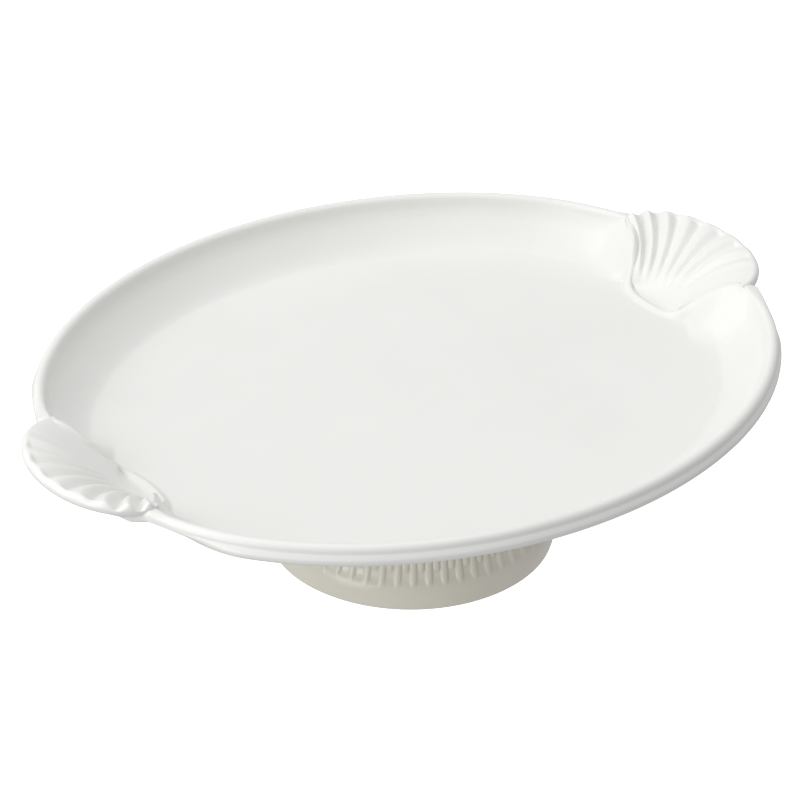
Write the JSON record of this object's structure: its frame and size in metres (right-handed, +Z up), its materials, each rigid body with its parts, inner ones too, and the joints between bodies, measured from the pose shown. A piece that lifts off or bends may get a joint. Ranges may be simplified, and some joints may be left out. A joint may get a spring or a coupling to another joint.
{
  "type": "footed cake tray",
  "caption": "Low oval cake tray on a round hollow foot, in glazed ceramic, with a ribbed scallop-shell handle set in the wall at each end.",
  "frame": {"origin": "centre of the foot's resting face, on the surface that the stand rests on", "axes": "+Z up; X along the tray's long axis, from the left shell to the right shell; Y across it"},
  "size_m": [0.3706, 0.2948, 0.0991],
  "materials": {
    "white_glaze": "glossy white glaze",
    "cream_glaze": "glossy warm cream glaze",
    "bare_slip": "fired slip without glaze"
  },
  "bodies": {
    "root": {"dish": "white_glaze", "shell_handle_left": "white_glaze", "shell_handle_right": "white_glaze", "shell_slip_left": "bare_slip", "shell_slip_right": "bare_slip", "foot": "cream_glaze", "foot_slip_ring": "bare_slip"}
  },
  "joints": []
}
